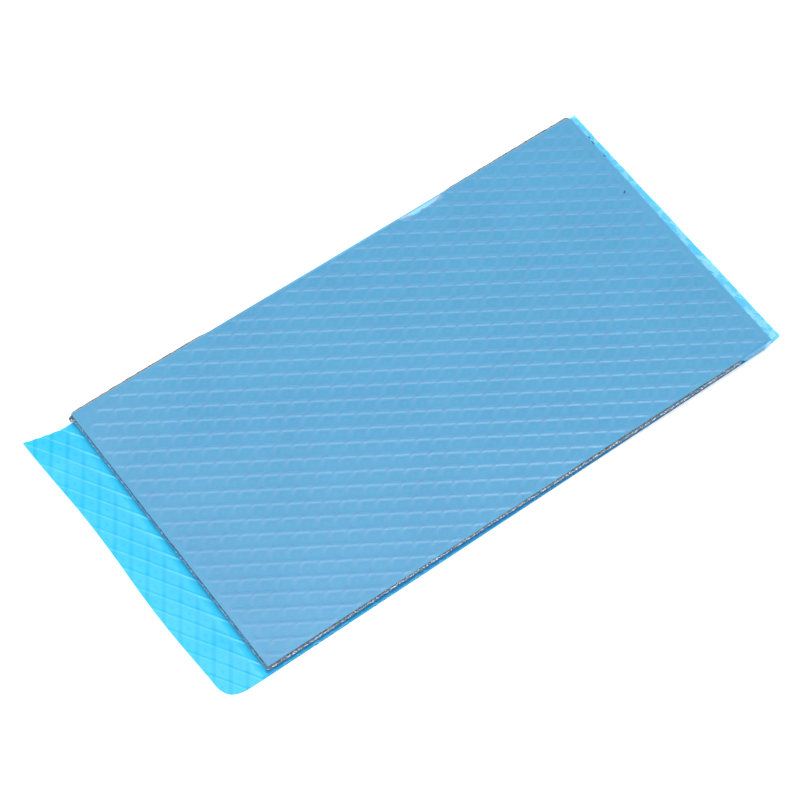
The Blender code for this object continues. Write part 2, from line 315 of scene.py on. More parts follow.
@dataclass
class EmbossedSheet:
    """A closed thin sheet, embossed on its outer face and plain on its back.

    Attributes:
        name: Name of the piece.
        outline: Corners of the flat cut in order, as rows of X and Y.
        lattice: Where the emboss lines run.
        emboss: Section of the emboss.
        thickness: Thickness of the sheet at the top of its lines.
        place: Gives the place in space of flat points at a height above the sheet's back.
        relief: Gives the share of the emboss that is left at flat points.
        stain_and_fill: Gives the share of full staining at flat points, which on the lower film is a painted
            fill light.
        zones: Boxes with evenly spaced points in place of lattice cells.
        rim_step: Distance between points along the cut edge.
        rim_margin: Width along the cut edge that whole cells of the lattice stay clear of.
        back_step: Distance between points on the plain back.
    """

    name: str
    outline: np.ndarray
    lattice: Lattice
    emboss: Emboss
    thickness: float
    place: Placer
    relief: Shares
    stain_and_fill: Shares
    zones: tuple[Zone, ...]
    rim_step: float = 0.22 * MM
    rim_margin: float = 0.06 * MM
    back_step: float = 3.0 * MM

    def grid_lines(self, axis: int) -> np.ndarray:
        """Lattice coordinates along one axis where the mesh has a line of points."""
        reach = self.lattice.coordinates(self.outline)[:, axis]
        whole = range(math.floor(reach.min()) - 1, math.ceil(reach.max()) + 1)
        return np.array([number + station for number in whole for station in self.emboss.stations(axis)])

    def usable(self, points: np.ndarray) -> np.ndarray:
        """Tell which points lie well inside the cut edge and outside the zones."""
        good = inside_outline(points, self.outline)
        good[good] = distance_to_outline(points[good], self.outline) > self.rim_margin
        for zone in self.zones:
            good &= ~zone.holds(points)
        return good

    def zone_points(self) -> np.ndarray:
        """Evenly spaced points of the zones that lie well inside the cut edge."""
        points = np.concatenate([np.zeros((0, 2))] + [zone.points() for zone in self.zones])
        good = inside_outline(points, self.outline)
        good[good] = distance_to_outline(points[good], self.outline) > self.rim_margin
        return points[good]

    def extra_points(self, step: float) -> np.ndarray:
        """Evenly spaced points inside the cut edge, with those of the zones in their place."""
        low, high = self.outline.min(axis=0), self.outline.max(axis=0)
        points = Zone(tuple(low), tuple(high), step).points()
        return np.concatenate([points[self.usable(points)], self.zone_points()])

    def outer_face(self, rim: np.ndarray) -> tuple[np.ndarray, list[tuple[int, ...]]]:
        """Make the embossed face: whole lattice cells inside, and triangles out to the cut edge.

        Args:
            rim: Points along the cut edge, which come first among the returned points.

        Returns:
            Flat points as rows of X and Y, and faces as point numbers.
        """
        along, across = self.grid_lines(0), self.grid_lines(1)
        coordinates = np.stack(np.meshgrid(along, across, indexing="ij"), axis=-1).reshape(-1, 2)
        places = self.lattice.places(coordinates)
        good = self.usable(places).reshape(len(along), len(across))
        kept = good[:-1, :-1] & good[1:, :-1] & good[:-1, 1:] & good[1:, 1:]
        number = np.arange(len(places)).reshape(good.shape)
        corners = [number[:-1, :-1], number[1:, :-1], number[1:, 1:], number[:-1, 1:]]
        quads = np.stack([c[kept] for c in corners], axis=-1)
        sides = [quads[:, [a, b]] for a, b in ((0, 1), (1, 2), (2, 3), (3, 0))]
        pairs = np.sort(np.concatenate(sides), axis=1)
        edges, uses = np.unique(pairs, axis=0, return_counts=True)
        border = edges[uses == 1]
        used, first = np.unique(quads), len(rim)
        renumber = np.full(len(places), -1)
        renumber[used] = np.arange(len(used)) + first
        points = np.concatenate([rim, places[used]])
        faces = [tuple(quad) for quad in renumber[quads].tolist()]
        return self.add_border(points, faces, renumber[border], first, (along, across, kept))

    def add_border(
        self,
        points: np.ndarray,
        faces: list[tuple[int, ...]],
        border: np.ndarray,
        rim_count: int,
        grid: tuple[np.ndarray, np.ndarray, np.ndarray],
    ) -> tuple[np.ndarray, list[tuple[int, ...]]]:
        """Fill the band between the whole cells and the cut edge with triangles.

        Args:
            points: Flat points, with the cut edge's points first.
            faces: Faces of the whole cells.
            border: Edges around the whole cells, as pairs of point numbers.
            rim_count: How many points the cut edge has.
            grid: The lattice lines along both axes, and which cells between them are faces.

        Returns:
            All points as rows of X and Y, and all faces as point numbers.
        """
        loose = self.zone_points()
        border_points = np.unique(border)
        chosen = np.concatenate([np.arange(rim_count), border_points, np.arange(len(loose)) + len(points)])
        points = np.concatenate([points, loose])
        local = {int(name): i for i, name in enumerate(chosen)}
        edges = [(i, (i + 1) % rim_count) for i in range(rim_count)]
        edges += [(local[int(a)], local[int(b)]) for a, b in border]
        triangles = np.array(filled(points[chosen], edges))
        middles = points[chosen][triangles].mean(axis=1)
        along, across, kept = grid
        spot = self.lattice.coordinates(middles)
        row = np.clip(np.searchsorted(along, spot[:, 0]) - 1, 0, len(along) - 2)
        column = np.clip(np.searchsorted(across, spot[:, 1]) - 1, 0, len(across) - 2)
        wanted = inside_outline(middles, self.outline) & ~kept[row, column]
        faces += [tuple(triangle) for triangle in chosen[triangles[wanted]].tolist()]
        return points, faces

    def build(self) -> bpy.types.Object:
        """Build the sheet and mark each face's kind by its material slot.

        Returns:
            The new object, linked to the scene, with no materials yet.
        """
        rim = resampled(self.outline, self.rim_step)
        outer, outer_faces = self.outer_face(rim)
        back = np.concatenate([rim, self.extra_points(self.back_step)])
        edges = [(i, (i + 1) % len(rim)) for i in range(len(rim))]
        triangles = np.array(filled(back, edges))
        triangles = triangles[inside_outline(back[triangles].mean(axis=1), self.outline)]
        shift = len(outer)
        back_faces = [tuple(int(i) + shift for i in reversed(t)) for t in triangles]
        cut_faces = [(a, a + shift, b + shift, b) for a, b in edges]
        flat = np.concatenate([outer, back])
        coordinates = self.lattice.coordinates(flat)
        relief = self.relief(flat)
        floor = self.thickness - self.emboss.depth
        heights = floor + self.emboss.height(coordinates[:shift]) * relief[:shift]
        spots = np.concatenate([self.place(outer, heights), self.place(back, np.zeros(len(back)))])
        kinds = [Side.OUTER] * len(outer_faces) + [Side.CUT_EDGE] * len(cut_faces)
        kinds += [Side.BACK] * len(back_faces)
        mesh = closed_mesh(self.name, spots, outer_faces + cut_faces + back_faces, [k.value for k in kinds])
        layer = mesh.attributes.new(LATTICE_LAYER, "FLOAT_VECTOR", "POINT")
        layer.data.foreach_set("vector", np.column_stack([coordinates, relief]).astype(np.float32).ravel())
        layer = mesh.attributes.new(STAIN_AND_FILL_LAYER, "FLOAT", "POINT")
        layer.data.foreach_set("value", self.stain_and_fill(flat).astype(np.float32))
        return linked(bpy.data.objects.new(self.name, mesh))


def closed_mesh(
    name: str, spots: np.ndarray, faces: list[tuple[int, ...]], slots: list[int]
) -> bpy.types.Mesh:
    """Make a closed mesh whose faces point outwards.

    Args:
        name: Name of the mesh.
        spots: Places as rows of X, Y and Z.
        faces: Faces as point numbers.
        slots: Material slot of each face.

    Returns:
        The mesh, shaded smooth with sharp corners kept.
    """
    mesh = bpy.data.meshes.new(name)
    mesh.from_pydata(spots.tolist(), [], faces)
    mesh.polygons.foreach_set("material_index", slots)
    shaper = bmesh.new()
    shaper.from_mesh(mesh)
    bmesh.ops.recalc_face_normals(shaper, faces=shaper.faces)
    shaper.to_mesh(mesh)
    shaper.free()
    mesh.shade_smooth()
    mesh.set_sharp_from_angle(angle=math.radians(50.0))
    return mesh


def triangle_count(piece: bpy.types.Object) -> int:
    """Number of triangles that a piece's faces make."""
    return sum(len(face.vertices) - 2 for face in piece.data.polygons)


def linked(item: bpy.types.Object) -> bpy.types.Object:
    """Link an object to the scene and return it."""
    bpy.context.scene.collection.objects.link(item)
    return item


class Graph:
    """The nodes of one material, with short ways to add and join them."""

    def __init__(self, name: str) -> None:
        """Start an empty material.

        Args:
            name: Name of the material.
        """
        self.material = bpy.data.materials.new(name)
        self.material.use_nodes = True
        self.nodes = self.material.node_tree.nodes
        self.links = self.material.node_tree.links
        self.nodes.clear()

    def add(self, kind: str, inputs: dict[str, object] | None = None, **settings: object) -> bpy.types.Node:
        """Add a node.

        Args:
            kind: Type of the node.
            inputs: Values or sockets for its named inputs.
            settings: Values for its own properties.

        Returns:
            The node.
        """
        node = self.nodes.new(kind)
        for name, value in settings.items():
            setattr(node, name, value)
        for name, value in (inputs or {}).items():
            self.feed(node.inputs[name], value)
        return node

    def feed(self, socket: bpy.types.NodeSocket, value: object) -> None:
        """Set an input to a value, or link it to a socket."""
        if isinstance(value, bpy.types.NodeSocket):
            self.links.new(value, socket)
        elif isinstance(value, tuple) and socket.type == "RGBA":
            socket.default_value = (*value, 1.0)
        else:
            socket.default_value = value

    def maths(self, operation: str, *values: object) -> bpy.types.NodeSocket:
        """Work out one sum of numbers or sockets."""
        node = self.add("ShaderNodeMath", operation=operation)
        for socket, value in zip(node.inputs, values):
            self.feed(socket, value)
        return node.outputs[0]

    def ease(
        self, value: object, start: float, end: float, low: float = 0.0, high: float = 1.0
    ) -> bpy.types.NodeSocket:
        """Ease a value over a range, with level ends.

        Args:
            value: Number or socket to read.
            start: Value that gives low.
            end: Value that gives high.
            low: Result at the start.
            high: Result at the end.

        Returns:
            The eased value's socket.
        """
        inputs = {"Value": value, "From Min": start, "From Max": end, "To Min": low, "To Max": high}
        return self.add("ShaderNodeMapRange", inputs, interpolation_type="SMOOTHSTEP").outputs["Result"]

    def blend(self, share: object, first: object, second: object) -> bpy.types.NodeSocket:
        """Mix two colours: the first where the share is 0, the second where it is 1."""
        node = self.add("ShaderNodeMix", data_type="RGBA")
        for place, value in ((0, share), (6, first), (7, second)):
            self.feed(node.inputs[place], value)
        return node.outputs[2]

    def clouds(
        self, place: object, size: float, detail: float = 2.0, offset: float = 0.0
    ) -> bpy.types.NodeSocket:
        """Soft noise whose lumps are about the given size.

        Args:
            place: Socket of the coordinates.
            size: Size of the lumps.
            detail: How many finer layers it has.
            offset: Moves the noise, so that two of one size differ.

        Returns:
            Socket of the noise, mostly from 0.3 to 0.7.
        """
        inputs = {"Vector": place, "W": offset, "Scale": 1.0 / size, "Detail": detail, "Roughness": 0.55}
        return self.add("ShaderNodeTexNoise", inputs, noise_dimensions="4D").outputs["Fac"]

    def finish(self, surface: bpy.types.NodeSocket) -> bpy.types.Material:
        """Link the surface to the output and return the material."""
        output = self.add("ShaderNodeOutputMaterial")
        self.links.new(surface, output.inputs["Surface"])
        return self.material


@dataclass(frozen=True)
class FilmFinish:
    """Dyed translucent film that scatters part of the light and lets the rest through.

    Attributes:
        name: Start of the materials' names.
        cell: Colour that the diamonds scatter.
        dash: Colour that the raised dashes scatter, lighter than the diamonds partly as a painted highlight.
        band: Colour that the second lines scatter.
        knot: Colour that the crossings scatter, darker than the dashes: a painted break in their highlight.
        crest: Colour of the thin line along the top of each dash: painted shade for the dark side of the
            raised lines.
        stain_and_fill_colour: Colour by the staining share: on the upper film where it is wetted by silicone
            oil or squeezed by the cutter; on the lower film a painted fill light, brighter and bluer against
            the pad where the pad's shadow falls.
        sheen_strip: Paler colour of the strip past the pad's right end, a painted sheen.
        rim: Colour of a darker rim along one long side: on the lower film painted contact shade next to the
            pad's foot, on the upper film a dark line along its rear edge.
        edge: Colour of the cut edge.
        tint: Colour of the light that one pass through the film lets on.
        scatter: Share of light that the outer face scatters.
        rim_start: Y where the rim begins.
        rim_end: Y where it has its full colour.
        stain_and_fill_scatter: What the staining adds to that share of scattered light, which on the lower
            film goes with the painted fill light.
        rim_scatter: What the rim adds to it.
        back_scatter: Share of light that the back scatters.
        roughness: Roughness of the outer face.
        shine: Specular level of the outer face.
        sheen_patch: Colour of the palest patches in that strip, painted sheen.
        fade_start: X where that strip begins.
        fade_end: X where it has its full colour.
        rim_left: X where the rim ends on the left.
        rim_outer: Y below which the rim is mostly gone again, out of the film's reach for one that keeps it
            whole.
        worn: Colour of the dusty patch over the pad's torn notch.
        worn_start: Y where that patch begins, out of the film's reach for one that has none.
        worn_middle: X of its middle.
        worn_half: Half its length along X.
        hem: Colour of the stretched film of a hem.
        hem_top: Height below which the film is a hem, under the floor for a film that has none.
    """

    name: str
    cell: Colour
    dash: Colour
    band: Colour
    knot: Colour
    crest: Colour
    stain_and_fill_colour: Colour
    sheen_strip: Colour
    rim: Colour
    edge: Colour
    tint: Colour
    scatter: float
    rim_start: float
    rim_end: float
    stain_and_fill_scatter: float = 0.35
    rim_scatter: float = 0.4
    back_scatter: float = 0.1
    roughness: float = 0.22
    shine: float = 0.5
    sheen_patch: Colour = (0.42, 0.68, 0.78)
    fade_start: float = 42.8 * MM
    fade_end: float = 43.6 * MM
    rim_left: float = -42.4 * MM
    rim_outer: float = -40.0 * MM
    worn: Colour = (0.33, 0.42, 0.66)
    worn_start: float = 40.0 * MM
    worn_middle: float = 15.9 * MM
    worn_half: float = 4.0 * MM
    hem: Colour = (0.14, 0.50, 0.80)
    hem_top: float = -1.0 * MM

    def materials(self, emboss: Emboss) -> list[bpy.types.Material]:
        """Make the materials of the outer face, the cut edge and the back, in slot order."""
        return [
            self.outer(emboss),
            self.plain("cut_edge", self.edge, 0.9),
            self.plain("back", self.cell, self.back_scatter),
        ]

    def outer(self, emboss: Emboss) -> bpy.types.Material:
        """Make the outer face's material, which knows where the emboss lines run.

        Args:
            emboss: Section of the emboss.

        Returns:
            The material.
        """
        graph = Graph(self.name + "_outer")
        place = graph.add("ShaderNodeTexCoord").outputs["Object"]
        mottle = graph.clouds(place, 9.0 * MM)
        grain = graph.clouds(place, 0.5 * MM, 3.0, 4.0)
        colour = self.pattern(graph, emboss)
        darker = tuple(0.92 * c for c in self.cell)
        colour = graph.blend(graph.ease(mottle, 0.3, 0.7, 0.0, 0.3), colour, darker)
        split = graph.add("ShaderNodeSeparateXYZ", {"Vector": place})
        worn = graph.ease(split.outputs["Y"], self.worn_start, self.worn_start + 0.4 * MM)
        aside = graph.maths("ABSOLUTE", graph.maths("SUBTRACT", split.outputs["X"], self.worn_middle))
        worn = graph.maths("MULTIPLY", worn, graph.ease(aside, self.worn_half, 0.75 * self.worn_half))
        colour = graph.blend(worn, colour, self.worn)
        # Painted sheen: the strip past the pad's right end is paler, with pale patches.
        sheen_strip = graph.ease(split.outputs["X"], self.fade_start, self.fade_end)
        colour = graph.blend(sheen_strip, colour, self.sheen_strip)
        sheen_patches = graph.ease(graph.clouds(place, 1.3 * MM, 2.0, 3.0), 0.5, 0.58, 0.0, 0.7)
        colour = graph.blend(graph.maths("MULTIPLY", sheen_patches, sheen_strip), colour, self.sheen_patch)
        # Staining share: oil staining on the upper film, and on the lower film a painted fill light, brighter
        # and bluer where the pad's shadow falls.
        stain_and_fill = graph.add("ShaderNodeAttribute", attribute_name=STAIN_AND_FILL_LAYER).outputs["Fac"]
        colour = graph.blend(stain_and_fill, colour, self.stain_and_fill_colour)
        # Painted contact shade along the lower film's front strip; on the upper film a dark line along the
        # rear edge.
        rim = graph.ease(split.outputs["Y"], self.rim_start, self.rim_end, 0.0, 0.9)
        rim_falloff = graph.ease(split.outputs["Y"], self.rim_outer, self.rim_outer + 0.35 * MM, 0.25, 1.0)
        rim = graph.maths("MULTIPLY", rim, rim_falloff)
        reach = graph.ease(split.outputs["X"], self.rim_left - 0.4 * MM, self.rim_left)
        rim = graph.maths("MULTIPLY", rim, reach)
        colour = graph.blend(rim, colour, self.rim)
        hem = graph.ease(split.outputs["Z"], self.hem_top, self.hem_top - 0.15 * MM)
        colour = graph.blend(hem, colour, self.hem)
        rough = graph.maths("ADD", graph.ease(grain, 0.3, 0.7, -0.05, 0.05), self.roughness)
        bump = graph.add("ShaderNodeBump", {"Height": grain, "Strength": 0.2, "Distance": 0.02 * MM})
        inputs = {
            "Base Color": colour,
            "Roughness": rough,
            "Specular IOR Level": self.shine,
            "Normal": bump.outputs["Normal"],
        }
        body = graph.add("ShaderNodeBsdfPrincipled", inputs)
        clear = graph.add("ShaderNodeBsdfTransparent", {"Color": self.tint})
        share = graph.maths("ADD", self.scatter, graph.maths("MULTIPLY", stain_and_fill, self.stain_and_fill_scatter))
        share = graph.maths("ADD", share, graph.maths("MULTIPLY", rim, self.rim_scatter))
        share = graph.maths("ADD", share, graph.ease(mottle, 0.3, 0.7, -0.02, 0.02))
        return self.mixed(graph, share, clear, body)

    def pattern(self, graph: Graph, emboss: Emboss) -> bpy.types.NodeSocket:
        """Colour the diamonds, dashes, bands and crossings by the lattice stored on the mesh.

        Args:
            graph: Nodes of the material.
            emboss: Section of the emboss.

        Returns:
            Socket of the colour.
        """
        lattice = graph.add("ShaderNodeAttribute", attribute_name=LATTICE_LAYER)
        split = graph.add("ShaderNodeSeparateXYZ", {"Vector": lattice.outputs["Vector"]})
        along, across = (graph.maths("PINGPONG", split.outputs[axis], 0.5) for axis in ("X", "Y"))
        dash = graph.maths("MULTIPLY", graph.ease(along, emboss.foot, 0.6 * emboss.foot), split.outputs["Z"])
        band = graph.maths("MULTIPLY", graph.ease(across, 0.2, 0.05), split.outputs["Z"])
        beside, onward = (graph.maths("WRAP", split.outputs[axis], 0.5, -0.5) for axis in ("X", "Y"))
        slant = graph.maths("SUBTRACT", onward, graph.maths("MULTIPLY", beside, emboss.gap_slant))
        slant = graph.ease(graph.maths("ABSOLUTE", slant), 0.16, 0.08)
        knot = graph.maths("MULTIPLY", graph.maths("MULTIPLY", dash, slant), split.outputs["Z"])
        middle = graph.maths("SUBTRACT", 0.5, graph.maths("MINIMUM", along, across))
        heart = graph.maths("MULTIPLY", graph.ease(middle, 0.34, 0.22), split.outputs["Z"])
        spot = graph.maths("MULTIPLY", graph.ease(middle, 0.12, 0.04), split.outputs["Z"])
        darker = tuple(0.93 * c for c in self.cell)
        colour = graph.blend(graph.maths("MULTIPLY", heart, 0.5), self.cell, darker)
        colour = graph.blend(graph.maths("MULTIPLY", spot, 0.8), colour, self.band)
        colour = graph.blend(band, colour, self.band)
        # The dashes are lighter partly as a painted highlight, on top of the light that their flanks catch.
        colour = graph.blend(dash, colour, self.dash)
        # Painted shade: a darker line along the top of each dash for the shaded side of the raised lines.
        crest = graph.maths("MULTIPLY", graph.ease(along, 0.06, 0.03, 0.0, 0.7), split.outputs["Z"])
        colour = graph.blend(crest, colour, self.crest)
        # Painted shade at the crossings breaks the dashes' highlight; the relief runs on there.
        return graph.blend(knot, colour, self.knot)

    def plain(self, part: str, colour: Colour, scatter: float) -> bpy.types.Material:
        """Make the material of a face without emboss.

        Args:
            part: End of the material's name.
            colour: Colour that the face scatters.
            scatter: Share of light that the face scatters.

        Returns:
            The material.
        """
        graph = Graph(f"{self.name}_{part}")
        place = graph.add("ShaderNodeTexCoord").outputs["Object"]
        mottle = graph.clouds(place, 2.0 * MM)
        mixed = graph.blend(mottle, colour, tuple(0.8 * c for c in colour))
        body = graph.add("ShaderNodeBsdfPrincipled", {"Base Color": mixed, "Roughness": self.roughness})
        clear = graph.add("ShaderNodeBsdfTransparent", {"Color": self.tint})
        return self.mixed(graph, scatter, clear, body)

    def mixed(
        self, graph: Graph, share: object, clear: bpy.types.Node, body: bpy.types.Node
    ) -> bpy.types.Material:
        """Mix the clear and the scattering part and finish the material."""
        mix = graph.add("ShaderNodeMixShader", {"Fac": share})
        graph.links.new(clear.outputs[0], mix.inputs[1])
        graph.links.new(body.outputs[0], mix.inputs[2])
        return graph.finish(mix.outputs[0])


@dataclass(frozen=True)
class SiliconeFinish:
    """Filled silicone: matte grey, with dark, pale and tan grains of filler in it."""

    name: str = "filled_silicone"
    dark: Colour = (0.012, 0.025, 0.045)
    # Bluer partly as painted light: the blue that the films throw onto the pad is painted into this grey.
    grey: Colour = (0.12, 0.19, 0.27)
    pale: Colour = (0.82, 0.84, 0.86)
    tan: Colour = (0.27, 0.19, 0.14)
    # Painted shade on the walls: a dark line just under the upper film's edge, and darkening towards the
    # foot.
    wall_shade: Colour = (0.03, 0.07, 0.12)
    rind: Colour = (0.20, 0.17, 0.16)
    # Painted reflection: blue light that the lower film's left strip throws onto the pad's left wall.
    left_blue_bounce: Colour = (0.06, 0.36, 0.66)
    top: float = 1.9 * MM
    shade_line_depth: float = 0.1 * MM
    shade_start_depth: float = 1.1 * MM
    height: float = 1.5 * MM
    grain_size: float = 0.16 * MM
    roughness: float = 0.85

    def material(self) -> bpy.types.Material:
        """Make the material.

        Returns:
            The material.
        """
        graph = Graph(self.name)
        place = graph.add("ShaderNodeTexCoord").outputs["Object"]
        grains = graph.add("ShaderNodeTexVoronoi", {"Vector": place, "Scale": 1.0 / self.grain_size})
        chance = graph.add("ShaderNodeSeparateColor", {"Color": grains.outputs["Color"]})
        fine = graph.clouds(place, 0.3 * MM, 4.0)
        wide = graph.clouds(place, 3.0 * MM, 2.0, 7.0)
        colour = graph.blend(graph.ease(fine, 0.4, 0.55), self.dark, self.grey)
        colour = graph.blend(graph.ease(chance.outputs["Red"], 0.78, 0.86), colour, self.tan)
        colour = graph.blend(graph.ease(chance.outputs["Green"], 0.82, 0.86), colour, self.pale)
        colour = graph.blend(graph.ease(wide, 0.45, 0.7, 0.0, 0.2), colour, self.tan)
        split = graph.add("ShaderNodeSeparateXYZ", {"Vector": place})
        # Painted reflection of the lower film's blue strip on the left wall, fading towards the corners.
        end = graph.ease(split.outputs["X"], -42.0 * MM, -42.3 * MM, 0.0, 0.35)
        end = graph.maths("MULTIPLY", end, graph.ease(split.outputs["Y"], 21.6 * MM, 20.4 * MM))
        end = graph.maths("MULTIPLY", end, graph.ease(split.outputs["Y"], -22.0 * MM, -16.0 * MM))
        colour = graph.blend(end, colour, self.left_blue_bounce)
        depth = graph.maths("SUBTRACT", self.top, split.outputs["Z"])
        colour = graph.blend(graph.ease(depth, 0.03 * MM, 0.01 * MM), colour, self.rind)
        depth = graph.maths("ADD", depth, graph.ease(fine, 0.3, 0.7, -0.1 * MM, 0.1 * MM))
        # Painted shade: a dark line just under the upper film's edge, then darker towards the foot of the
        # walls.
        line = graph.maths("ABSOLUTE", graph.maths("SUBTRACT", depth, self.shade_line_depth))
        colour = graph.blend(graph.ease(line, 0.1 * MM, 0.06 * MM), colour, self.wall_shade)
        below = graph.ease(depth, self.shade_start_depth, self.height)
        colour = graph.blend(below, colour, self.wall_shade)
        bump = graph.add("ShaderNodeBump", {"Height": fine, "Strength": 0.6, "Distance": 0.05 * MM})
        rough = graph.maths("ADD", graph.ease(fine, 0.3, 0.7, -0.08, 0.08), self.roughness)
        inputs = {"Base Color": colour, "Roughness": rough, "Normal": bump.outputs["Normal"]}
        return graph.finish(graph.add("ShaderNodeBsdfPrincipled", inputs).outputs[0])


@dataclass(frozen=True)
class Rise:
    """A place where a film stands off what it lies on, as a round bump."""

    middle: tuple[float, float]
    reach: float
    height: float

    def lift(self, points: np.ndarray) -> np.ndarray:
        """Height of the bump at points given as rows of X and Y."""
        away = ((points - np.array(self.middle)) ** 2).sum(axis=1)
        return self.height * np.exp(-away / self.reach ** 2)


@dataclass
class LowerFilm:
    """The film that lies on the surface and shows past both ends of the pad."""

    name: str = "lower_film"
    node: str = "bottom_release_film"
    slot: str = "lower_film"
    pad_length: float = 85.0 * MM
    pad_width: float = 45.0 * MM
    lattice: Lattice = Lattice(
        LineFamily(math.radians(32.54), 1.973 * MM, 0.20),
        LineFamily(math.radians(-35.35), 2.163 * MM, 0.83),
    )
    emboss: Emboss = Emboss(
        depth=0.05 * MM,
        foot=0.12,
        hook_crest=0.09,
        hook_foot=0.13,
        hook_reach=0.13,
        gap_slant=0.0,
        mark_height=0.003 * MM,
    )
    finish: FilmFinish = FilmFinish(
        name="lower_film",
        cell=(0.048, 0.505, 0.80),
        dash=(0.066, 0.54, 0.82),
        band=(0.012, 0.405, 0.765),
        knot=(0.016, 0.41, 0.77),
        crest=(0.05, 0.41, 0.63),
        # Painted fill light: brighter, bluer colour against the pad, where the pad's shadow falls on the
        # film.
        stain_and_fill_colour=(0.05, 0.65, 1.0),
        sheen_strip=(0.16, 0.49, 0.68),
        # Painted contact shade: the rim darkens the narrow front strip next to the pad's foot.
        rim=(0.03, 0.25, 0.60),
        edge=(0.20, 0.60, 0.85),
        tint=(0.3, 0.85, 1.0),
        scatter=0.45,
        rim_start=-21.9 * MM,
        rim_end=-22.1 * MM,
        rim_outer=-22.75 * MM,
    )
    lift: float = 0.03 * MM
    lift_period: float = 13.0 * MM
    # How far the painted fill light reaches from the pad's left end, and from its front and right sides.
    fill_reach: float = 1.2 * MM
    side_fill_reach: float = 0.3 * MM
    hidden: Zone = Zone((-41.5 * MM, -21.6 * MM), (41.5 * MM, 21.6 * MM), 3.0 * MM)
    left_free: tuple[float, float] = (-0.5 * MM, 2.0 * MM)
    right_free: tuple[float, float] = (-1.5 * MM, 0.5 * MM)
    left_crumple: float = 0.05 * MM
    right_crumple: float = 0.24 * MM
    rises: tuple[Rise, ...] = (
        Rise((-45.6 * MM, -16.4 * MM), 2.2 * MM, 0.12 * MM),
        Rise((-46.5 * MM, 18.5 * MM), 2.5 * MM, 0.10 * MM),
    )

    def beyond(self, points: np.ndarray, ends: tuple[float, float]) -> np.ndarray:
        """Share by which points, as rows of X and Y, are clear of the pad's end, between two distances."""
        past = np.abs(points[:, 0]) - self.pad_length / 2.0
        return smooth_step((past - ends[0]) / (ends[1] - ends[0]))

    def crumple(self, points: np.ndarray) -> np.ndarray:
        """Uneven heights of the emboss crossings, joined by flat facets.

        Args:
            points: Flat points as rows of X and Y.

        Returns:
            A share from 0 to 1 for each point.
        """
        coordinates = self.lattice.coordinates(points) + 64.0
        whole = np.floor(coordinates).astype(int)
        part = coordinates - whole
        chance = np.random.default_rng(5).random((160, 160))
        near = chance[whole[:, 0], whole[:, 1]]
        right = chance[whole[:, 0] + 1, whole[:, 1]]
        up = chance[whole[:, 0], whole[:, 1] + 1]
        far = chance[whole[:, 0] + 1, whole[:, 1] + 1]
        lower = near + part[:, 0] * (right - near) + part[:, 1] * (up - near)
        upper = far + (1.0 - part[:, 0]) * (up - far) + (1.0 - part[:, 1]) * (right - far)
        return np.where(part.sum(axis=1) < 1.0, lower, upper)

    def place(self, points: np.ndarray, heights: np.ndarray) -> np.ndarray:
        """Place the film's points, with its free ends lifted in slow waves and crumpled a little.

        Args:
            points: Flat points as rows of X and Y.
            heights: Height of each point above the film's back.

        Returns:
            Places as rows of X, Y and Z.
        """
        turn = 2.0 * math.pi * (points[:, 1] + 0.6 * points[:, 0]) / self.lift_period
        lifted = self.lift * (1.0 + np.sin(turn) * np.cos(0.37 * turn + 1.0))
        lifted += sum(rise.lift(points) for rise in self.rises)
        right = points[:, 0] > 0.0
        freed = np.where(right, self.beyond(points, self.right_free), self.beyond(points, self.left_free))
        crumpled = np.where(right, self.right_crumple, self.left_crumple) * self.crumple(points)
        return np.column_stack([points, heights + (lifted + crumpled) * freed])

    def relief(self, points: np.ndarray) -> np.ndarray:
        """Share of the emboss that is left: all of it, except well under the pad."""
        return np.where(self.hidden.holds(points), 0.0, 1.0)

    def stain_and_fill(self, points: np.ndarray) -> np.ndarray:
        """Share of the painted fill light, strongest against the pad, where the pad's shadow falls on the
        film.
        """
        left = np.maximum(0.0, -points[:, 0] - self.pad_length / 2.0)
        front = np.maximum(0.0, -points[:, 1] - self.pad_width / 2.0)
        right = np.maximum(0.0, points[:, 0] - self.pad_length / 2.0)
        return np.exp(-((left / self.fill_reach) ** 2)) * np.exp(-(front + right) / self.side_fill_reach)

    def build(self) -> bpy.types.Object:
        """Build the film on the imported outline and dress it.

        Returns:
            The piece.
        """
        low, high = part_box(self.node)
        outline = outline_of(self.node, low.z)
        thickness = high.z - low.z
        ways = (self.place, self.relief, self.stain_and_fill)
        form = (outline, self.lattice, self.emboss, thickness)
        piece = EmbossedSheet(self.name, *form, *ways, (self.hidden,)).build()
        for material in self.finish.materials(self.emboss):
            piece.data.materials.append(material)
        declare(piece, self.node)
        return piece


